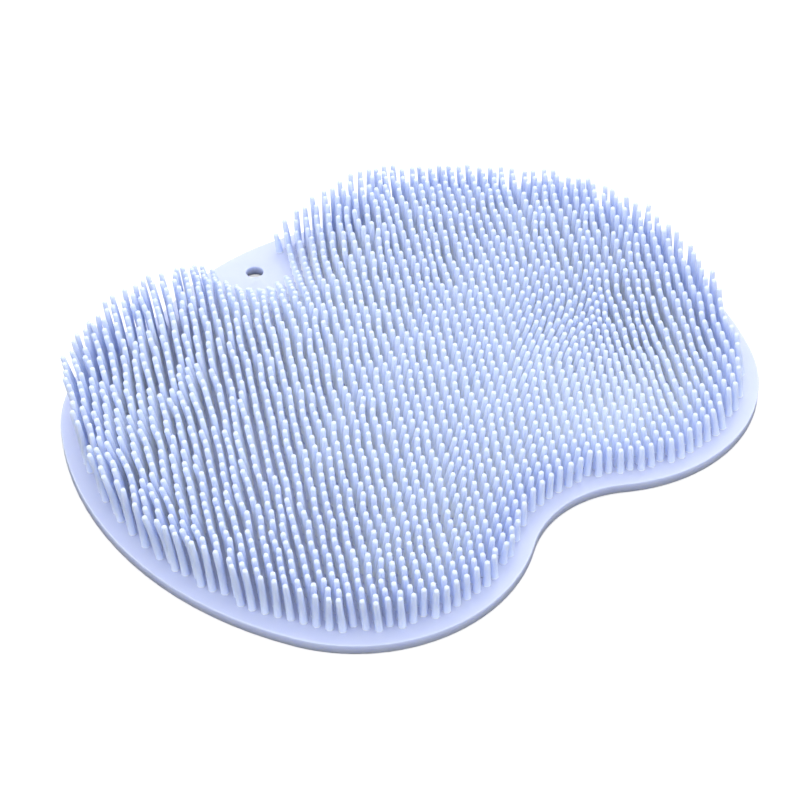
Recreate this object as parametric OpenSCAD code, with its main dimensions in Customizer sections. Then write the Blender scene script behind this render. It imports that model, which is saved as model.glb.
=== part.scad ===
// Shower foot scrubber: a soft mat moulded in one piece. It has two foot lobes with a waist
// between them, a field of tapered bristles on top, suction cups in a shallow recess
// underneath, and a bare tab with a hanging hole at the back.
// Lengths are in millimetres. The mat lies on the floor, z = 0, with its lobes along X and
// its tab towards +Y. The origin is the middle of its footprint's box.

/* [Outline] */
// Length over both lobes
mat_length = 285; // [255:5:315]
// Width across a lobe
lobe_width = 216; // [200:2:232]
// Outline radius at the four shoulders of the lobes
shoulder_r = 69; // [62:1:76]
// Outline radius at the outer end of each lobe
end_r = 147; // [130:1:170]
// Outline radius of the front waist
waist_r = 44; // [34:1:56]

/* [Sheet] */
// Height of the sheet's top face above the floor
sheet_top = 4.5; // [4:0.1:6]
// Depth of the recess under the sheet
recess_depth = 2.5; // [2:0.1:3]
// Width of the rim round the recess
rim_w = 5; // [4:0.5:8]

/* [Hanging tab] */
// Reach of the tab behind the middle of the lobes
tab_reach = 118; // [112:1:124]
// Outline radius of the tab's back edge
tab_r = 110; // [95:1:120]
// Outline radius where the tab runs into the lobes
blend_r = 30; // [20:1:40]
// Diameter of the hanging hole
hole_d = 7.5; // [6:0.5:10]
// Distance of the hole's centre from the tab's back edge
hole_inset = 14; // [12:0.5:18]
// Diameter of the solid boss round the hole
boss_d = 15; // [12:0.5:17]
// Radius of the bare patch round the hole
bare_r = 17; // [14:0.5:22]

/* [Bristles] */
// Distance between neighbouring bristles
bristle_pitch = 5; // [4.5:0.5:8]
// Distance from the outline to the centres of the outermost bristles
flange_w = 7.5; // [6.5:0.5:11]
// Bristle diameter at its root
root_d = 3; // [2.4:0.1:3.6]
// Bristle diameter at its tip
tip_d = 2; // [1.4:0.1:2.4]
// Bristle length above the sheet, where there is no hill or hollow
bristle_l = 16.5; // [12:0.5:21]

/* [Suction cups] */
// Distance between neighbouring suction cups
cup_pitch = 24; // [18:0.5:30]
// Diameter of a cup's lip
cup_d = 13; // [10:0.5:15]
// Diameter of a cup's neck under the sheet
neck_d = 7; // [5:0.5:8]
// Width of a cup's lip
lip_w = 0.6; // [0.4:0.1:1]
// Depth of the hollow in a cup
hollow_depth = 1.5; // [1:0.1:1.8]

/* [Hidden] */
$fn = 48;

// Hills and hollows in the surface that the bristle tips follow: place as shares of the half
// length and half width, radius in mm, and rise in mm. The tips stand high at both ends and
// along the back, and low at the front and round the hole.
HILLS = [
    [-1.1, 0.55, 65, 12.5],
    [-1.15, -0.45, 43, 11.5],
    [-0.3, 1.3, 67, 16],
    [0.3, 0.95, 40, 12.5],
    [0.95, 0.3, 42, 9],
    [1.1, -0.3, 48, 12],
    [0.35, -0.75, 47, -6],
    [-0.25, -0.85, 40, -5],
    [0, 0.965, 30, -31]
];
// Least length of a bristle
shortest_l = 3;

function mirror_x(p) = [-p[0], p[1]];
function mirror_y(p) = [p[0], -p[1]];
function bearing(a, b) = atan2(b[1] - a[1], b[0] - a[0]);

// Centre of the circle of radius b that touches two circles from outside, on the left of
// the way from the first to the second
function blend_centre(c1, r1, c2, r2, b) =
    let (
        d = norm(c2 - c1),
        along = (pow(r1 + b, 2) - pow(r2 + b, 2) + d * d) / (2 * d),
        aside = sqrt(pow(r1 + b, 2) - along * along),
        u = (c2 - c1) / d
    )
    c1 + along * u + aside * [-u[1], u[0]];

// Centres of the outline's arcs, on the +X side and on the middle line
shoulder_y = lobe_width / 2 - shoulder_r;
end_x = mat_length / 2 - end_r;
shoulder_x = end_x + sqrt(pow(end_r - shoulder_r, 2) - pow(shoulder_y, 2));
end_c = [end_x, 0];
back_c = [shoulder_x, shoulder_y];
front_c = mirror_y(back_c);
tab_c = [0, tab_reach - tab_r];
blend_c = blend_centre(tab_c, tab_r, back_c, shoulder_r, blend_r);
waist_c = blend_centre(front_c, shoulder_r, mirror_x(front_c), shoulder_r, waist_r);
hole_c = [0, tab_reach - hole_inset];

// Angles at which the arcs meet, on the +X side
end_a = bearing(end_c, back_c);
back_a = bearing(back_c, blend_c);
front_a = bearing(front_c, waist_c);
tab_a = bearing(tab_c, blend_c);

// Polygon through the arcs' centres, which the arcs close
CORE = [
    back_c, blend_c, tab_c, mirror_x(blend_c), mirror_x(back_c),
    mirror_x(front_c), waist_c, front_c
];

// Arcs of the outline on the +X side, from the front waist to the tab: centre, radius, first
// and last angle, and 1 where the arc bulges outwards or -1 where it bulges inwards
ARCS = [
    [waist_c, waist_r, 90, front_a + 180, -1],
    [front_c, shoulder_r, front_a, -end_a, 1],
    [end_c, end_r, -end_a, end_a, 1],
    [back_c, shoulder_r, end_a, back_a, 1],
    [blend_c, blend_r, back_a - 180, tab_a - 180, -1],
    [tab_c, tab_r, tab_a, 90, 1]
];

// The tab reaches further back than the lobes reach forward, so the mat shifts to centre it
centre_shift = [0, (lobe_width / 2 - tab_reach) / 2, 0];
// Depth to which bristles and cups are rooted in the sheet, less than half of its thickness
root = 0.4 * (sheet_top - recess_depth);
// How far a cut runs past the surface that it opens
past = 1;
// Overlap, in degrees, of the tab's sector with the core beside it
lap_a = 4;
// Bristles of the grid that stand this much too far out are moved in, which evens the edge
pull_in = 0.3 * bristle_pitch;

// Is a point square to one of the arcs?
function faces(arc, p) =
    let (a = bearing(arc[0], p), slack = 0.01)
    a > min(arc[2], arc[3]) - slack && a < max(arc[2], arc[3]) + slack;

// How far inside the outline a point on the +X side lies, and the arc nearest to it
function nearest(p) =
    let (
        rows = [for (arc = ARCS) if (faces(arc, p)) [arc[4] * (arc[1] - norm(p - arc[0])), arc]],
        least = min([for (row = rows) row[0]])
    )
    [for (row = rows) if (row[0] == least) row][0];

function depth(p) = nearest([abs(p[0]), p[1]])[0];

// A point moved square to the outline until it lies m inside it
function moved_in(p, m) =
    let (
        q = [abs(p[0]), p[1]],
        arc = nearest(q)[1],
        c = arc[0],
        there = c + (arc[1] - arc[4] * m) * (q - c) / norm(q - c)
    )
    p[0] < 0 ? mirror_x(there) : there;

// Points of a triangular grid that is centred on the mat, with its rows along X
function grid(pitch) =
    let (
        row = pitch * sqrt(3) / 2,
        nx = ceil(mat_length / 2 / pitch),
        ny = ceil(tab_reach / row)
    )
    [for (j = [-ny:ny], i = [-nx:nx]) [(i + (j % 2 == 0 ? 0 : 0.5)) * pitch, j * row]];

function sum(v) = [for (x = v) 1] * v;

// Length of the bristle at a place
function bristle_length(p) =
    max(shortest_l, bristle_l + sum([
        for (h = HILLS)
            let (d = p - [h[0] * mat_length / 2, h[1] * lobe_width / 2])
            h[3] * exp(-(d * d) / pow(h[2], 2))
    ]));

module both_sides() {
    children();
    mirror([1, 0, 0]) children();
}

// Sector of a flat disc, as a circle cut by a triangle from its centre
module flat_sector(c, r, a0, a1) {
    reach = r / cos((a1 - a0) / 2) + past;
    intersection() {
        translate(c) circle(r);
        polygon([c, c + reach * [cos(a0), sin(a0)], c + reach * [cos(a1), sin(a1)]]);
    }
}

// Flat outline of the mat, m inside its edge
module outline(m) {
    both_sides() {
        flat_sector(end_c, end_r - m, -end_a, end_a);
        translate(back_c) circle(shoulder_r - m);
        translate(front_c) circle(shoulder_r - m);
    }
    flat_sector(tab_c, tab_r - m, tab_a - lap_a, 180 - tab_a + lap_a);
    difference() {
        polygon(CORE);
        both_sides() translate(blend_c) circle(blend_r + m);
        translate(waist_c) circle(waist_r + m);
    }
}

// Shallow recess under the sheet, which leaves the rim and the boss round the hole
module recess() {
    translate([0, 0, -past]) linear_extrude(recess_depth + past) difference() {
        outline(rim_w);
        translate(hole_c) circle(d = boss_d);
    }
}

module suction_cup() {
    rotate_extrude() polygon([
        [0, hollow_depth],
        [neck_d / 4, hollow_depth],
        [cup_d / 2 - lip_w, 0],
        [cup_d / 2, 0],
        [neck_d / 2, recess_depth],
        [neck_d / 2, recess_depth + root],
        [0, recess_depth + root]
    ]);
}

module suction_cups() {
    for (p = grid(cup_pitch))
        if (depth(p) > rim_w + cup_d / 2 && norm(p - hole_c) > (boss_d + cup_d) / 2)
            translate(p) suction_cup();
}

module bristles() {
    for (g = grid(bristle_pitch))
        if (depth(g) > flange_w - pull_in) {
            p = depth(g) < flange_w ? moved_in(g, flange_w) : g;
            if (norm(p - hole_c) > bare_r)
                translate([p[0], p[1], sheet_top - root])
                    cylinder(h = bristle_length(p) + root, d1 = root_d, d2 = tip_d);
        }
}

// Sheet with its rim, recess, boss and hanging hole
module sheet() {
    difference() {
        linear_extrude(sheet_top) outline(0);
        recess();
        translate([hole_c[0], hole_c[1], -past]) cylinder(h = sheet_top + 2 * past, d = hole_d);
    }
}

module scrubber_mat() {
    color("#c3cdf3") {
        translate(centre_shift) sheet();
        translate(centre_shift) suction_cups();
        translate(centre_shift) bristles();
    }
}

scrubber_mat();
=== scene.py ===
"""Shower foot scrubber: one soft silicone moulding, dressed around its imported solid.

The moulding is a thin sheet in the outline of two foot lobes. Underneath it has a rim, a recess
and suction cups, and on top a field of tapered bristles that lean a little, as soft ones do.
Lengths are in metres: +X runs along the lobes, +Y towards the hanging tab, +Z up.
"""

import logging
import math
from dataclasses import dataclass, field
from enum import Enum

import bpy
import numpy as np
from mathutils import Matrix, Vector
from mathutils.geometry import delaunay_2d_cdt


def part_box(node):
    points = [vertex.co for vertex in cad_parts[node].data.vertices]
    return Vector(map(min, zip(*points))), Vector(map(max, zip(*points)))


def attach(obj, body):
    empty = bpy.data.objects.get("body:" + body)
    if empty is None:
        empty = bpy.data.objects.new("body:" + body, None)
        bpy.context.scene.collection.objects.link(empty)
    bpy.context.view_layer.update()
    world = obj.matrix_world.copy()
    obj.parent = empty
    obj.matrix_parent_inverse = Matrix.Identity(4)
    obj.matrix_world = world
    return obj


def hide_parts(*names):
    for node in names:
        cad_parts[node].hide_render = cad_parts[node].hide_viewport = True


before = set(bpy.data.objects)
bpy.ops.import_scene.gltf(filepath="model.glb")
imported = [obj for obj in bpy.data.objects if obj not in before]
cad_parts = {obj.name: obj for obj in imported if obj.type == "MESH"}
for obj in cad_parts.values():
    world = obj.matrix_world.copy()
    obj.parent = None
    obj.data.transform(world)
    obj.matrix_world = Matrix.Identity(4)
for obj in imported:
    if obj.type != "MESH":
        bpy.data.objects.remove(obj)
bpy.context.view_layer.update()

MM = 0.001
NODE = "scrubber_mat"
log = logging.getLogger("scrubber")


class Bulge(Enum):
    """The way an arc of the outline bulges, as the sign of its normal along its radius."""

    OUTWARD = 1
    INWARD = -1


class Facing(Enum):
    """The side that a flat face is seen from."""

    UP = 1
    DOWN = -1


def bearing(start: np.ndarray, stop: np.ndarray) -> float:
    """The angle of the line from one point to another, from the X axis.

    Args:
        start: The first point, (x, y).
        stop: The second point, (x, y).

    Returns:
        The angle in radians.
    """
    return math.atan2(stop[1] - start[1], stop[0] - start[0])


def touching_centre(
    first: np.ndarray, first_r: float, second: np.ndarray, second_r: float, radius: float
) -> np.ndarray:
    """The centre of a circle that touches two circles from outside.

    It lies at the sums of the radii from both centres, so its place along the line between them
    follows from the difference of two right triangles, and its place aside from the rest.

    Args:
        first: Centre of the first circle.
        first_r: Radius of the first circle.
        second: Centre of the second circle.
        second_r: Radius of the second circle.
        radius: Radius of the circle that touches both.

    Returns:
        The centre on the left of the way from the first circle to the second.
    """
    span = second - first
    distance = float(np.hypot(*span))
    along = ((first_r + radius) ** 2 - (second_r + radius) ** 2 + distance**2) / (2 * distance)
    aside = math.sqrt((first_r + radius) ** 2 - along**2)
    unit = span / distance
    return first + along * unit + aside * np.array([-unit[1], unit[0]])


def direction(bearing_angle: float, height: float) -> Vector:
    """The unit vector at a bearing and a height.

    Args:
        bearing_angle: The angle from +X on the floor, in radians.
        height: The angle above the floor, in radians.

    Returns:
        The vector.
    """
    level = math.cos(height)
    x, y = level * math.cos(bearing_angle), level * math.sin(bearing_angle)
    return Vector((x, y, math.sin(height)))


def fullness(sides: int) -> float:
    """How much wider a polygon is drawn than a circle of the same area.

    The polygon's area is that of its triangles, so the factor is the root of the step between
    two corners over the sine of that step.

    Args:
        sides: How many corners the polygon has.

    Returns:
        The factor for its radius.
    """
    step = 2 * math.pi / sides
    return math.sqrt(step / math.sin(step))


def circle(radius: float, sides: int) -> np.ndarray:
    """Points of a circle round the origin: the radius times the cosine and sine of even steps.

    Args:
        radius: The circle's radius.
        sides: How many points it has.

    Returns:
        The points, anticlockwise, in an array of sides by 2.
    """
    turn = np.arange(sides) * (2 * math.pi / sides)
    return radius * np.stack([np.cos(turn), np.sin(turn)], axis=-1)


def at_height(points: np.ndarray, z: float) -> np.ndarray:
    """Flat points lifted to one height.

    Args:
        points: The points, in an array whose last axis holds x and y.
        z: Their height.

    Returns:
        The points, with z added to the last axis.
    """
    return np.concatenate([points, np.full(points.shape[:-1] + (1,), z)], axis=-1)


def triangular_grid(pitch: float, half_x: float, half_y: float, middle_y: float) -> np.ndarray:
    """Points of a triangular grid with its rows along X, centred on (0, middle_y).

    A row lies the pitch times half the root of three from the next, and every second row is
    shifted by half a pitch.

    Args:
        pitch: Distance between neighbouring points.
        half_x: Half of the length that the grid covers.
        half_y: Half of the width that the grid covers.
        middle_y: Y of the grid's middle row.

    Returns:
        The points, in an array of n by 2.
    """
    row_step = pitch * math.sqrt(3) / 2
    count_x = math.ceil(half_x / pitch)
    count_y = math.ceil(half_y / row_step)
    column, row = np.meshgrid(np.arange(-count_x, count_x + 1), np.arange(-count_y, count_y + 1))
    x = (column + 0.5 * (row % 2)) * pitch
    return np.stack([x.ravel(), row.ravel() * row_step + middle_y], axis=-1)


@dataclass(frozen=True)
class Arc:
    """One arc of the outline, from a start angle to a stop angle.

    The slack, in radians, is how far past its ends the arc still counts as square to a point.
    """

    centre: np.ndarray
    radius: float
    start: float
    stop: float
    steps: int
    bulge: Bulge
    slack: float = 1e-4

    def points(self, inset: float) -> np.ndarray:
        """Points of the arc, moved into the sheet, without the last one, where the next starts.

        Args:
            inset: How far the points lie inside the outline.

        Returns:
            The points, in an array of steps by 2.
        """
        turn = np.linspace(self.start, self.stop, self.steps, endpoint=False)
        radius = self.radius - self.bulge.value * inset
        return self.centre + radius * np.stack([np.cos(turn), np.sin(turn)], axis=-1)

    def depths(self, places: np.ndarray) -> np.ndarray:
        """How far inside the arc points lie: the radius less the distance from the centre.

        Args:
            places: Points on the arc's side of the mat, in an array of n by 2.

        Returns:
            The depth of each point, negative outside, and infinite where the arc isn't square
            to the point.
        """
        away = places - self.centre
        turn = np.arctan2(away[:, 1], away[:, 0])
        low, high = sorted((self.start, self.stop))
        square = (turn > low - self.slack) & (turn < high + self.slack)
        inside = self.bulge.value * (self.radius - np.hypot(*away.T))
        return np.where(square, inside, np.inf)

    def moved_in(self, places: np.ndarray, inset: float) -> np.ndarray:
        """Points moved along the arc's radii.

        Args:
            places: The points, in an array of n by 2.
            inset: How far inside the arc they end up.

        Returns:
            The moved points.
        """
        away = places - self.centre
        radius = self.radius - self.bulge.value * inset
        return self.centre + away * (radius / np.linalg.norm(away, axis=1, keepdims=True))


@dataclass
class LobedOutline:
    """Outline of the sheet: two foot lobes, a front waist and a tab behind, as arcs that meet."""

    length: float
    lobe_width: float
    tab_reach: float
    middle_y: float
    shoulder_r: float = 69 * MM
    end_r: float = 147 * MM
    waist_r: float = 44 * MM
    tab_r: float = 110 * MM
    blend_r: float = 30 * MM
    waist_steps: int = 10
    front_steps: int = 26
    end_steps: int = 18
    back_steps: int = 18
    blend_steps: int = 6
    tab_steps: int = 10

    def arcs(self) -> list[Arc]:
        """The arcs of the +X half.

        Returns:
            The arcs, from the front middle to the back middle.
        """
        end_c = np.array([self.length / 2 - self.end_r, 0.0])
        shoulder_y = self.lobe_width / 2 - self.shoulder_r
        reach = math.sqrt((self.end_r - self.shoulder_r) ** 2 - shoulder_y**2)
        back_c = np.array([end_c[0] + reach, shoulder_y])
        front_c = back_c * [1, -1]
        tab_c = np.array([0.0, self.tab_reach - self.tab_r])
        blend_c = touching_centre(tab_c, self.tab_r, back_c, self.shoulder_r, self.blend_r)
        mirrored = front_c * [-1, 1]
        shoulder_r = self.shoulder_r
        waist_c = touching_centre(front_c, shoulder_r, mirrored, shoulder_r, self.waist_r)
        waist_c[1] = -abs(waist_c[1])
        end_a = bearing(end_c, back_c)
        quarter = math.pi / 2
        waist_a, front_a = bearing(waist_c, front_c), bearing(front_c, waist_c)
        back_a, tab_a = bearing(back_c, blend_c), bearing(tab_c, blend_c)
        blend_a = bearing(blend_c, back_c), bearing(blend_c, tab_c)
        out, back_in = Bulge.OUTWARD, Bulge.INWARD
        rows = [
            (waist_c, self.waist_r, quarter, waist_a, self.waist_steps, back_in),
            (front_c, shoulder_r, front_a, -end_a, self.front_steps, out),
            (end_c, self.end_r, -end_a, end_a, self.end_steps, out),
            (back_c, shoulder_r, end_a, back_a, self.back_steps, out),
            (blend_c, self.blend_r, *blend_a, self.blend_steps, back_in),
            (tab_c, self.tab_r, tab_a, quarter, self.tab_steps, out),
        ]
        shift = np.array([0.0, self.middle_y])
        return [Arc(centre + shift, *rest) for centre, *rest in rows]

    def loop(self, inset: float) -> np.ndarray:
        """The closed outline, moved into the sheet.

        Args:
            inset: How far the loop lies inside the outline.

        Returns:
            The points, anticlockwise from the front middle, in an array of n by 2.
        """
        half = np.concatenate([arc.points(inset) for arc in self.arcs()])
        back = np.array([[0.0, self.middle_y + self.tab_reach - inset]])
        return np.concatenate([half, back, half[:0:-1] * [-1, 1]])

    def depths(self, places: np.ndarray) -> np.ndarray:
        """How far inside the outline each point lies: its least depth in any arc.

        Args:
            places: The points, in an array of n by 2.

        Returns:
            The depth of each point, negative outside.
        """
        half = np.abs(places) * [1, 0] + places * [0, 1]
        return np.min([arc.depths(half) for arc in self.arcs()], axis=0)

    def moved_in(self, places: np.ndarray, inset: float) -> np.ndarray:
        """Points moved square to the outline until they lie the inset inside it.

        Args:
            places: The points, in an array of n by 2.
            inset: How far inside the outline they end up.

        Returns:
            The moved points.
        """
        half = np.abs(places) * [1, 0] + places * [0, 1]
        arcs = self.arcs()
        nearest = np.argmin([arc.depths(half) for arc in arcs], axis=0)
        moved = np.stack([arc.moved_in(half, inset) for arc in arcs])
        moved = moved[nearest, np.arange(len(half))]
        return moved * np.where(places < 0, [-1, 1], 1)


@dataclass(frozen=True)
class Hill:
    """A hill in the surface that the bristle tips follow, or a hollow where its rise is negative.

    Its place is given as shares of the half length and of the half width.
    """

    x: float
    y: float
    radius: float
    rise: float


@dataclass(frozen=True)
class Combing:
    """A place that the bristle tips lean away from, or towards where its push is negative.

    Its place is given as shares of the half length and of the half width.
    """

    x: float
    y: float
    radius: float
    push: float


class Skin:
    """One welded mesh in the making: vertices, how open to light each one lies, a mask that paints
    light and shade into the colour, and faces, as arrays.

    Points of a flat face that lie nearer than the weld, in metres, count as one.
    """

    weld = 1e-7

    def __init__(self) -> None:
        """Starts with no vertices."""
        self.count = 0
        self.points: list[np.ndarray] = []
        self.light_openness: list[np.ndarray] = []
        self.faces: list[np.ndarray] = []

    def add(self, points: np.ndarray, rise: float | np.ndarray = 0.0) -> np.ndarray:
        """Adds vertices.

        Args:
            points: The places, in an array whose last axis holds x, y and z.
            rise: The mask for painted light and shade in the colour: 0 on the sheet, just over 0
                deep in the field, and 1 in the open at the tips.

        Returns:
            The vertices' indices, in the shape of the points without their last axis.
        """
        shape = points.shape[:-1]
        number = int(np.prod(shape))
        self.points.append(points.reshape(-1, 3))
        self.light_openness.append(np.broadcast_to(rise, shape).reshape(-1))
        index = np.arange(self.count, self.count + number).reshape(shape)
        self.count += number
        return index

    def strip(self, lower: np.ndarray, upper: np.ndarray) -> None:
        """Joins two rows of closed rings with quads that face right when walked anticlockwise.

        Args:
            lower: Indices of the first rings, the last axis running round each ring.
            upper: Indices of the second rings, in the same shape.
        """
        ring = [lower, np.roll(lower, -1, axis=-1), np.roll(upper, -1, axis=-1), upper]
        self.faces.append(np.stack(ring, axis=-1).reshape(-1, 4))

    def fan(self, ring: np.ndarray, apex: np.ndarray, facing: Facing) -> None:
        """Closes rings with triangles to one vertex each.

        Args:
            ring: Indices of the rings, the last axis running round each ring.
            apex: Index of each ring's closing vertex.
            facing: The side that the triangles are seen from.
        """
        after = np.roll(ring, -1, axis=-1)
        tip = np.broadcast_to(apex[..., None], ring.shape)
        faces = np.stack([ring, after, tip], axis=-1).reshape(-1, 3)
        self.faces.append(faces[:, :: facing.value])

    def fill(self, border: np.ndarray, rings: list[np.ndarray], facing: Facing) -> None:
        """Fills the flat face between a border and rings with a Delaunay triangulation.

        Args:
            border: Indices of the border's loop.
            rings: Index arrays of the holes, the last axis running round each ring.
            facing: The side that the face is seen from.
        """
        loops = [border] + [ring for rows in rings for ring in rows.reshape(-1, rows.shape[-1])]
        index = np.concatenate(loops)
        owner = np.repeat(np.arange(len(loops)), [len(loop) for loop in loops])
        first = np.concatenate([[0], np.cumsum([len(loop) for loop in loops])])[owner]
        size = np.array([len(loop) for loop in loops])[owner]
        here = np.arange(len(index))
        after = first + (here - first + 1) % size
        flat = np.concatenate(self.points)[index, :2]
        edges = np.stack([here, after], axis=-1).tolist()
        made = delaunay_2d_cdt([Vector(p) for p in flat.tolist()], edges, [], 1, self.weld)
        triangles = np.array(made[2])
        source = np.array([ids[0] for ids in made[3]])
        triangles = source[triangles]
        first_owner, *others = owner[triangles].T
        in_hole = (first_owner == others[0]) & (others[0] == others[1]) & (first_owner > 0)
        self.faces.append(index[triangles[~in_hole]][:, :: facing.value])

    def mesh(self, name: str, sharp: float) -> bpy.types.Mesh:
        """Writes the arrays into a new mesh, smooth apart from its sharp edges.

        Args:
            name: The mesh's name.
            sharp: The angle between two faces, in radians, above which their edge is sharp.

        Returns:
            The mesh, with the rise values, the mask for painted light and shade, in its attribute
            of that name.
        """
        points = np.concatenate(self.points)
        corners = np.concatenate([faces.reshape(-1) for faces in self.faces])
        sizes = np.concatenate([np.full(len(faces), faces.shape[1]) for faces in self.faces])
        mesh = bpy.data.meshes.new(name)
        mesh.vertices.add(len(points))
        mesh.vertices.foreach_set("co", points.astype(np.float32).ravel())
        mesh.loops.add(len(corners))
        mesh.loops.foreach_set("vertex_index", corners.astype(np.int32))
        mesh.polygons.add(len(sizes))
        starts = np.concatenate([[0], np.cumsum(sizes)[:-1]])
        mesh.polygons.foreach_set("loop_start", starts.astype(np.int32))
        mesh.polygons.foreach_set("use_smooth", np.ones(len(sizes), bool))
        mesh.update(calc_edges=True)
        mesh.validate()
        mesh.set_sharp_from_angle(angle=sharp)
        rise = mesh.attributes.new("rise", "FLOAT", "POINT")
        rise.data.foreach_set("value", np.concatenate(self.light_openness).astype(np.float32))
        return mesh


@dataclass
class MouldedSheet:
    """The sheet with its rounded edge, rim, recess, hanging hole and boss."""

    outline: LobedOutline
    top: float = 4.5 * MM
    recess_depth: float = 2.5 * MM
    rim_w: float = 5 * MM
    edge_r: float = 0.4 * MM
    flange_w: float = 5.5 * MM
    hole_d: float = 7.5 * MM
    hole_inset: float = 14 * MM
    boss_d: float = 15 * MM
    hole_sides: int = 40
    edge_points: int = 4

    def hole_centre(self) -> np.ndarray:
        """The middle of the hanging hole.

        Returns:
            The point, (x, y).
        """
        return np.array([0.0, self.outline.middle_y + self.outline.tab_reach - self.hole_inset])

    def build_edge(self, skin: Skin) -> tuple[np.ndarray, np.ndarray]:
        """Carries the section of the rim and the rounded edge along the outline.

        The section runs from the recess down to the rim, out, up the wall and in on the flange,
        and the top edge is a quarter circle.

        Args:
            skin: The mesh in the making.

        Returns:
            The loop where the recess begins, and the loop where the flange ends.
        """
        turn = np.linspace(0, math.pi / 2, self.edge_points)
        inset = self.edge_r * (1 - np.cos(turn))
        height = self.top - self.edge_r * (1 - np.sin(turn))
        foot = self.edge_r / 2
        section = [(self.rim_w, self.recess_depth), (self.rim_w, 0.0), (foot, 0.0), (0.0, foot)]
        section += list(zip(inset, height)) + [(self.flange_w, self.top)]
        loops = [skin.add(at_height(self.outline.loop(m), z)) for m, z in section]
        for lower, upper in zip(loops, loops[1:]):
            skin.strip(lower, upper)
        return loops[0], loops[-1]

    def build_hole(self, skin: Skin) -> tuple[np.ndarray, np.ndarray]:
        """Turns the section of the hole and its boss round the hole's axis.

        Args:
            skin: The mesh in the making.

        Returns:
            The ring in the sheet's top face, and the ring where the boss meets the recess.
        """
        hole_r = self.hole_d / 2
        lip = self.edge_r
        section = [
            (hole_r + lip, self.top),
            (hole_r + lip / 4, self.top - lip / 4),
            (hole_r, self.top - lip),
            (hole_r, lip),
            (hole_r + lip, 0.0),
            (self.boss_d / 2, 0.0),
            (self.boss_d / 2, self.recess_depth),
        ]
        centre = self.hole_centre()
        rings = [skin.add(at_height(centre + circle(r, self.hole_sides), z)) for r, z in section]
        for first, second in zip(rings, rings[1:]):
            skin.strip(first, second)
        return rings[0], rings[-1]


@dataclass
class SuctionCups:
    """The grid of suction cups in the recess, with their lips on the floor."""

    sheet: MouldedSheet
    pitch: float = 24 * MM
    cup_d: float = 13 * MM
    neck_d: float = 7 * MM
    lip_w: float = 0.6 * MM
    hollow_depth: float = 1.5 * MM
    sides: int = 16

    def places(self) -> np.ndarray:
        """The cups' middles: grid points clear of the rim and of the boss.

        Returns:
            The points, in an array of n by 2.
        """
        outline = self.sheet.outline
        half_x, half_y = outline.length / 2, outline.tab_reach
        points = triangular_grid(self.pitch, half_x, half_y, outline.middle_y)
        points = points[outline.depths(points) > self.sheet.rim_w + self.cup_d / 2]
        away = np.hypot(*(points - self.sheet.hole_centre()).T)
        return points[away > (self.sheet.boss_d + self.cup_d) / 2]

    def build(self, skin: Skin) -> np.ndarray:
        """Turns the section of a cup round each cup's axis, from the hollow out to the neck.

        Args:
            skin: The mesh in the making.

        Returns:
            The rings where the necks meet the recess.
        """
        places = self.places()[:, None, :]
        section = [
            (self.neck_d / 4, self.hollow_depth),
            (self.cup_d / 2 - 3 * self.lip_w, self.hollow_depth / 4),
            (self.cup_d / 2 - self.lip_w, 0.0),
            (self.cup_d / 2, 0.0),
            (self.neck_d / 2, self.sheet.recess_depth),
        ]
        rings = [skin.add(at_height(places + circle(r, self.sides), z)) for r, z in section]
        for inner, outer in zip(rings, rings[1:]):
            skin.strip(inner, outer)
        apex = skin.add(at_height(places[:, 0], self.hollow_depth))
        skin.fan(rings[0], apex, Facing.DOWN)
        log.info("suction cups: %d", len(places))
        return rings[-1]


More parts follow.
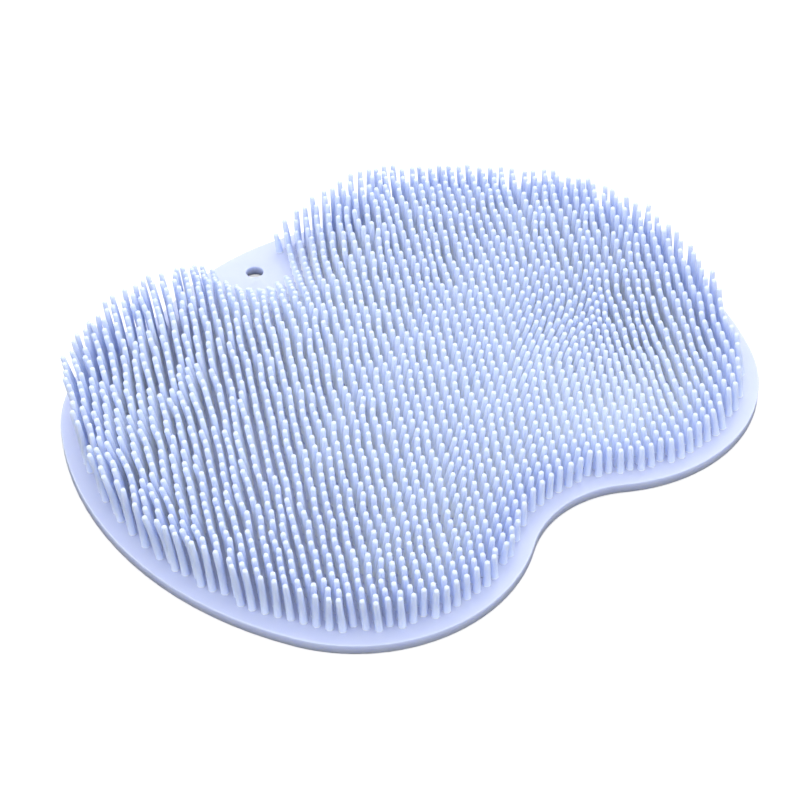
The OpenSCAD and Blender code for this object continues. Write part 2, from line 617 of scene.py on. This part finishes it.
@dataclass
class BristleField:
    """The field of tapered bristles, each welded to the sheet by a small flare at its root.

    The pull-in is a share of the pitch. The sway and the jitter are small enough that no two
    bristles cross.
    """

    sheet: MouldedSheet
    pitch: float = 5 * MM
    flange_w: float = 7.5 * MM
    pull_in: float = 0.3
    bare_r: float = 17 * MM
    root_d: float = 3.0 * MM
    tip_d: float = 2.0 * MM
    length: float = 16.5 * MM
    shortest: float = 3 * MM
    flare_r: float = 1.7 * MM
    flare_h: float = 0.5 * MM
    dome_h: float = 0.7 * MM
    shoulder_h: float = 0.3
    shoulder_r: float = 0.78
    sides: int = 7
    bend: float = 1.3
    sway: float = 0.45 * MM
    waves: tuple[float, ...] = (17 * MM, 23 * MM, 41 * MM)
    jitter: float = 0.22 * MM
    uneven: float = 0.2 * MM
    shelter_w: float = 18 * MM
    least_shelter: float = 0.15
    seed: int = 7
    hills: tuple[Hill, ...] = (
        Hill(-1.1, 0.55, 65 * MM, 12.5 * MM),
        Hill(-1.15, -0.45, 43 * MM, 11.5 * MM),
        Hill(-0.3, 1.3, 67 * MM, 16 * MM),
        Hill(0.3, 0.95, 40 * MM, 12.5 * MM),
        Hill(0.95, 0.3, 42 * MM, 9 * MM),
        Hill(1.1, -0.3, 48 * MM, 12 * MM),
        Hill(0.35, -0.75, 47 * MM, -6 * MM),
        Hill(-0.25, -0.85, 40 * MM, -5 * MM),
        Hill(0.0, 0.965, 30 * MM, -31 * MM),
    )
    drift: tuple[float, float] = (-1.0 * MM, 0.8 * MM)
    combings: tuple[Combing, ...] = (
        Combing(-0.45, 0.0, 90 * MM, 2.0 * MM),
        Combing(0.52, -0.35, 35 * MM, -3.0 * MM),
    )

    def scale(self) -> np.ndarray:
        """Half of the length and of the lobes' width, to place hills and combings.

        Returns:
            Both halves, (x, y).
        """
        return np.array([self.sheet.outline.length, self.sheet.outline.lobe_width]) / 2

    def places(self) -> np.ndarray:
        """The bristles' roots: grid points inside the flange and clear of the hole.

        Points that stand a little too far out are moved in, which evens the edge.

        Returns:
            The points, in an array of n by 2.
        """
        outline = self.sheet.outline
        grid = triangular_grid(self.pitch, outline.length / 2, outline.tab_reach, outline.middle_y)
        depths = outline.depths(grid)
        outer = (depths > self.flange_w - self.pull_in * self.pitch) & (depths < self.flange_w)
        moved = outline.moved_in(grid[outer], self.flange_w)
        points = np.concatenate([grid[depths >= self.flange_w], moved])
        return points[np.hypot(*(points - self.sheet.hole_centre()).T) > self.bare_r]

    def lengths(self, places: np.ndarray) -> np.ndarray:
        """Bristle lengths: the plain length plus each hill's rise times a bell curve.

        Args:
            places: The bristles' roots.

        Returns:
            The length of each bristle.
        """
        total = np.full(len(places), self.length)
        local = places - [0.0, self.sheet.outline.middle_y]
        for hill in self.hills:
            away = local - self.scale() * [hill.x, hill.y]
            total += hill.rise * np.exp(-(away**2).sum(axis=1) / hill.radius**2)
        return np.maximum(total, self.shortest)

    def leans(self, places: np.ndarray, heights: np.ndarray) -> np.ndarray:
        """How far each tip lies aside from its root.

        All tips drift one way. Combings push them outwards in proportion to the distance, fading
        as a bell curve. On top come crossed sine waves, which bunch neighbours, and a small
        random share. Both grow with the bristle's length.

        Args:
            places: The bristles' roots.
            heights: The bristles' lengths.

        Returns:
            The offset of each tip, in an array of n by 2.
        """
        local = places - [0.0, self.sheet.outline.middle_y]
        combed = np.zeros_like(local) + self.drift
        for combing in self.combings:
            away = (local - self.scale() * [combing.x, combing.y]) / combing.radius
            combed += combing.push * away * np.exp(1 - (away**2).sum(axis=1, keepdims=True))
        rng = np.random.default_rng(self.seed)
        loose = np.zeros_like(local)
        for wave_length in self.waves:
            heading = rng.uniform(0, 2 * math.pi, 2)
            wave = np.stack([np.cos(heading), np.sin(heading)]) * (2 * math.pi / wave_length)
            loose += self.sway * np.sin(local @ wave + rng.uniform(0, 2 * math.pi, 2))
        loose += rng.normal(0.0, self.jitter, local.shape)
        return combed + loose * (heights / self.length)[:, None]

    def shelter(self, places: np.ndarray) -> np.ndarray:
        """How much the field shades each bristle's foot: little at its edge, and fully inside.

        Args:
            places: The bristles' roots.

        Returns:
            The shelter of each bristle, from the least one to 1.
        """
        inside = (self.sheet.outline.depths(places) - self.flange_w) / self.shelter_w
        return np.clip(inside, self.least_shelter, 1.0)

    def build(self, skin: Skin) -> np.ndarray:
        """Makes each bristle as rings along an axis that bends like a cantilever, and a tip.

        The axis moves aside with a power of the height, and each ring stands square to it. The
        last ring is the dome's shoulder, at a share of the dome's height and of the tip's radius.

        Args:
            skin: The mesh in the making.

        Returns:
            The rings where the bristles meet the sheet's top face.
        """
        places = self.places()
        rng = np.random.default_rng(self.seed + 1)
        heights = self.lengths(places) + rng.uniform(-self.uneven, self.uneven, len(places))
        leans = self.leans(places, heights)
        root_r, tip_r = np.array([self.root_d, self.tip_d]) / 2 * fullness(self.sides)
        middle_r = (root_r + tip_r) / 2
        levels = [
            (np.zeros_like(heights), self.flare_r),
            (self.flare_h / heights, root_r),
            (np.full_like(heights, 0.5), middle_r),
            (1 - self.dome_h / heights, tip_r),
            (1 - self.shoulder_h * self.dome_h / heights, self.shoulder_r * tip_r),
        ]
        # The field's shade at each bristle's foot, used only to paint fill light into the colour.
        shelter = self.shelter(places)
        rings = []
        for share, radius in levels:
            slope = leans * (self.bend * share ** (self.bend - 1) / heights)[:, None]
            tangent = at_height(slope, 1.0)
            tangent /= np.linalg.norm(tangent, axis=1, keepdims=True)
            side = np.cross(tangent, [0.0, 1.0, 0.0])
            side /= -np.linalg.norm(side, axis=1, keepdims=True)
            other = np.cross(tangent, side)
            centre = at_height(places + leans * (share**self.bend)[:, None], 0.0)
            centre[:, 2] = self.sheet.top + heights * share
            ring = circle(radius, self.sides)
            around = ring[:, :1] * side[:, None, :] + ring[:, 1:] * other[:, None, :]
            # Painted light and shade: the rise is near 0 at a sheltered foot, which the colour
            # ramp paints lighter as fill light, and 1 at the open tip, painted as a sheen.
            rise = np.where(share > 0, 1 - (1 - share) * shelter, 0.0)
            rings.append(skin.add(centre[:, None, :] + around, rise[:, None]))
        for lower, upper in zip(rings, rings[1:]):
            skin.strip(lower, upper)
        apex = at_height(places + leans, 0.0)
        apex[:, 2] = self.sheet.top + heights
        skin.fan(rings[-1], skin.add(apex, 1.0), Facing.UP)
        log.info("bristles: %d", len(places))
        return rings[0]


@dataclass(frozen=True)
class SiliconeFinish:
    """Soft satin silicone rubber in a pale lavender blue, which lets some light through."""

    # The sheet, root and tip colours paint light and shade onto one silicone: painted shade on the
    # sheet, painted fill light at the roots deep in the field, and a painted sheen on the tips.
    # The shaft colour is the silicone's own.
    shaded_sheet_colour: tuple[float, float, float] = (0.54, 0.595, 0.80)
    fill_light_colour: tuple[float, float, float] = (0.90, 0.94, 1.0)
    shaft_colour: tuple[float, float, float] = (0.59, 0.67, 0.95)
    tip_sheen_colour: tuple[float, float, float] = (0.60, 0.67, 0.89)
    root_full: float = 0.03
    tip_starts: float = 0.94
    tip_full: float = 0.98
    mottle: float = 0.04
    mottle_size: float = 30 * MM
    grain: float = 0.05
    grain_size: float = 0.6 * MM
    grain_depth: float = 0.1 * MM
    roughness: float = 0.38
    rough_spread: float = 0.06
    depth: float = 2.5 * MM
    scatter: tuple[float, float, float] = (0.8, 0.85, 1.0)
    ior: float = 1.41

    def material(self) -> bpy.types.Material:
        """Builds the material.

        The colour follows the rise attribute and paints light and shade: the sheet darker as
        painted shade, the roots deep in the field lighter as painted fill light against the shade
        between the bristles, then the shafts' own colour, and the tips paler as a painted sheen. A
        soft noise makes it a little darker or lighter in places, and a fine noise varies the
        roughness and gives the bump.

        Returns:
            The material.
        """
        material = bpy.data.materials.new("silicone")
        material.use_nodes = True
        nodes, links = material.node_tree.nodes, material.node_tree.links
        shader = nodes["Principled BSDF"]
        place = nodes.new("ShaderNodeTexCoord")
        rise = nodes.new("ShaderNodeAttribute")
        rise.attribute_name = "rise"
        # Ramp of painted light and shade along the rise: a shaded sheet, lighter roots as painted
        # fill light, the shafts, and paler tips as a painted sheen.
        colour = nodes.new("ShaderNodeValToRGB")
        stops = colour.color_ramp.elements
        stops[0].color = (*self.shaded_sheet_colour, 1.0)
        stops[1].position, stops[1].color = self.tip_full, (*self.tip_sheen_colour, 1.0)
        stops.new(self.root_full).color = (*self.fill_light_colour, 1.0)
        stops.new(self.tip_starts).color = (*self.shaft_colour, 1.0)
        links.new(rise.outputs["Fac"], colour.inputs["Fac"])
        soft = nodes.new("ShaderNodeTexNoise")
        soft.inputs["Scale"].default_value = 1 / self.mottle_size
        soft.inputs["Detail"].default_value = 2.0
        links.new(place.outputs["Object"], soft.inputs["Vector"])
        shade = nodes.new("ShaderNodeMapRange")
        shade.inputs["To Min"].default_value = 1 - self.mottle
        shade.inputs["To Max"].default_value = 1 + self.mottle
        links.new(soft.outputs["Fac"], shade.inputs["Value"])
        tinted = nodes.new("ShaderNodeVectorMath")
        tinted.operation = "SCALE"
        links.new(colour.outputs["Color"], tinted.inputs["Vector"])
        links.new(shade.outputs["Result"], tinted.inputs["Scale"])
        links.new(tinted.outputs["Vector"], shader.inputs["Base Color"])
        fine = nodes.new("ShaderNodeTexNoise")
        fine.inputs["Scale"].default_value = 1 / self.grain_size
        fine.inputs["Detail"].default_value = 3.0
        links.new(place.outputs["Object"], fine.inputs["Vector"])
        rough = nodes.new("ShaderNodeMapRange")
        rough.inputs["To Min"].default_value = self.roughness - self.rough_spread
        rough.inputs["To Max"].default_value = self.roughness + self.rough_spread
        links.new(fine.outputs["Fac"], rough.inputs["Value"])
        links.new(rough.outputs["Result"], shader.inputs["Roughness"])
        bump = nodes.new("ShaderNodeBump")
        bump.inputs["Strength"].default_value = self.grain
        bump.inputs["Distance"].default_value = self.grain_depth
        links.new(fine.outputs["Fac"], bump.inputs["Height"])
        links.new(bump.outputs["Normal"], shader.inputs["Normal"])
        shader.inputs["Subsurface Weight"].default_value = 1.0
        shader.inputs["Subsurface Radius"].default_value = self.scatter
        shader.inputs["Subsurface Scale"].default_value = self.depth
        shader.inputs["IOR"].default_value = self.ior
        return material


@dataclass
class ScrubberMat:
    """The whole moulding."""

    sheet: MouldedSheet
    finish: SiliconeFinish = field(default_factory=SiliconeFinish)
    sharp: float = math.radians(60)

    def build(self) -> bpy.types.Object:
        """Builds the moulding as one welded mesh, dresses it and puts it in the CAD node's place.

        Returns:
            The finished piece.
        """
        skin = Skin()
        recess_edge, flange_edge = self.sheet.build_edge(skin)
        hole_top, boss_edge = self.sheet.build_hole(skin)
        necks = SuctionCups(self.sheet).build(skin)
        roots = BristleField(self.sheet).build(skin)
        skin.fill(flange_edge, [hole_top[None], roots], Facing.UP)
        skin.fill(recess_edge, [boss_edge[None], necks], Facing.DOWN)
        mesh = skin.mesh("silicone_moulding", self.sharp)
        piece = bpy.data.objects.new("silicone_moulding", mesh)
        bpy.context.scene.collection.objects.link(piece)
        piece.data.materials.append(self.finish.material())
        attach(piece, "root")
        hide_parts(NODE)
        triangles = sum(len(p.vertices) - 2 for p in piece.data.polygons)
        log.info("%s: %d vertices, %d triangles", piece.name, len(piece.data.vertices), triangles)
        return piece


@dataclass(frozen=True)
class SoftBox:
    """A round area lamp that points at the middle of the mat.

    Its bearing is the angle from +X and its height the angle above the floor.
    """

    name: str
    bearing: float
    height: float
    power: float
    size: float = 1.0
    distance: float = 1.6

    def add(self) -> None:
        """Adds the lamp to the scene."""
        data = bpy.data.lights.new(self.name, "AREA")
        data.shape = "DISK"
        data.size = self.size
        data.energy = self.power
        lamp = bpy.data.objects.new(self.name, data)
        back = direction(self.bearing, self.height)
        lamp.location = back * self.distance
        lamp.rotation_euler = back.to_track_quat("Z", "Y").to_euler()
        bpy.context.scene.collection.objects.link(lamp)


@dataclass
class Studio:
    """Plain pale floor, soft light from behind and from the front, and the photograph's camera."""

    target: tuple[float, float, float] = (-5.03 * MM, -2.39 * MM, 0.0)
    azimuth: float = math.radians(-41.425)
    elevation: float = math.radians(41.371)
    distance: float = 868.06 * MM
    lens: float = 95.49
    sensor: float = 36.0
    clip_start: float = 0.01
    floor_size: float = 6.0
    floor_drop: float = 0.05 * MM
    floor_colour: float = 0.8
    floor_bounce: float = 0.08
    floor_glow: float = 0.25
    floor_roughness: float = 0.9
    floor_gloss: float = 0.1
    sky: float = 1.4
    lamps: tuple[SoftBox, ...] = (
        SoftBox("key", math.radians(35), math.radians(45), 5.0),
        SoftBox("fill", math.radians(-125), math.radians(45), 0.5),
    )

    def add_camera(self) -> None:
        """Puts the camera on its line of sight, at the photograph's angle and distance."""
        data = bpy.data.cameras.new("camera")
        data.lens = self.lens
        data.sensor_width = self.sensor
        data.clip_start = self.clip_start
        camera = bpy.data.objects.new("camera", data)
        back = direction(self.azimuth - math.pi / 2, self.elevation)
        camera.location = Vector(self.target) + back * self.distance
        camera.rotation_euler = back.to_track_quat("Z", "Y").to_euler()
        bpy.context.scene.collection.objects.link(camera)
        bpy.context.scene.camera = camera

    def add_sky(self) -> None:
        """Lights the scene evenly, and shows plain white to the camera."""
        world = bpy.data.worlds.new("sky")
        world.use_nodes = True
        nodes, links = world.node_tree.nodes, world.node_tree.links
        light = nodes["Background"]
        light.inputs["Color"].default_value = (1.0, 1.0, 1.0, 1.0)
        light.inputs["Strength"].default_value = self.sky
        white = nodes.new("ShaderNodeBackground")
        white.inputs["Strength"].default_value = 1.0
        white.inputs["Color"].default_value = (1.0, 1.0, 1.0, 1.0)
        path = nodes.new("ShaderNodeLightPath")
        mix = nodes.new("ShaderNodeMixShader")
        links.new(path.outputs["Is Camera Ray"], mix.inputs["Fac"])
        links.new(light.outputs["Background"], mix.inputs[1])
        links.new(white.outputs["Background"], mix.inputs[2])
        links.new(mix.outputs["Shader"], nodes["World Output"].inputs["Surface"])
        bpy.context.scene.world = world

    def floor_material(self) -> bpy.types.Material:
        """A matt floor, pale and faintly glowing to the camera, and dark to all other rays.

        Returns:
            The material.
        """
        material = bpy.data.materials.new("floor")
        material.use_nodes = True
        nodes, links = material.node_tree.nodes, material.node_tree.links
        shader = nodes["Principled BSDF"]
        shader.inputs["Roughness"].default_value = self.floor_roughness
        shader.inputs["Specular IOR Level"].default_value = self.floor_gloss
        shader.inputs["Emission Color"].default_value = (1.0, 1.0, 1.0, 1.0)
        path = nodes.new("ShaderNodeLightPath")
        grey = nodes.new("ShaderNodeMapRange")
        grey.inputs["To Min"].default_value = self.floor_bounce
        grey.inputs["To Max"].default_value = self.floor_colour
        links.new(path.outputs["Is Camera Ray"], grey.inputs["Value"])
        links.new(grey.outputs["Result"], shader.inputs["Base Color"])
        glow = nodes.new("ShaderNodeMath")
        glow.operation = "MULTIPLY"
        glow.inputs[1].default_value = self.floor_glow
        links.new(path.outputs["Is Camera Ray"], glow.inputs[0])
        links.new(glow.outputs["Value"], shader.inputs["Emission Strength"])
        return material

    def add_floor(self) -> None:
        """Lays the floor just under the mat."""
        half = self.floor_size / 2
        corners = np.array([[-half, -half], [half, -half], [half, half], [-half, half]])
        mesh = bpy.data.meshes.new("floor")
        mesh.from_pydata(at_height(corners, -self.floor_drop).tolist(), [], [(0, 1, 2, 3)])
        mesh.materials.append(self.floor_material())
        floor = bpy.data.objects.new("floor", mesh)
        bpy.context.scene.collection.objects.link(floor)

    def build(self) -> None:
        """Adds the camera, the lamps, the sky and the floor."""
        self.add_camera()
        for lamp in self.lamps:
            lamp.add()
        self.add_sky()
        self.add_floor()
        bpy.context.scene.view_settings.view_transform = "Standard"


def outline_from_frame(lobe_width: float = 216 * MM) -> LobedOutline:
    """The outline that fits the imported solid's box.

    Args:
        lobe_width: Width across a lobe.

    Returns:
        The outline, with its lobes' middle line and its tab's reach taken from the box.
    """
    low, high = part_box(NODE)
    middle_y = low.y + lobe_width / 2
    return LobedOutline(high.x - low.x, lobe_width, high.y - middle_y, middle_y)


def main() -> None:
    """Builds the moulding and its studio, and reports each piece."""
    logging.basicConfig(level=logging.INFO, format="%(message)s")
    ScrubberMat(MouldedSheet(outline_from_frame())).build()
    Studio().build()


if __name__ == "__main__":
    main()
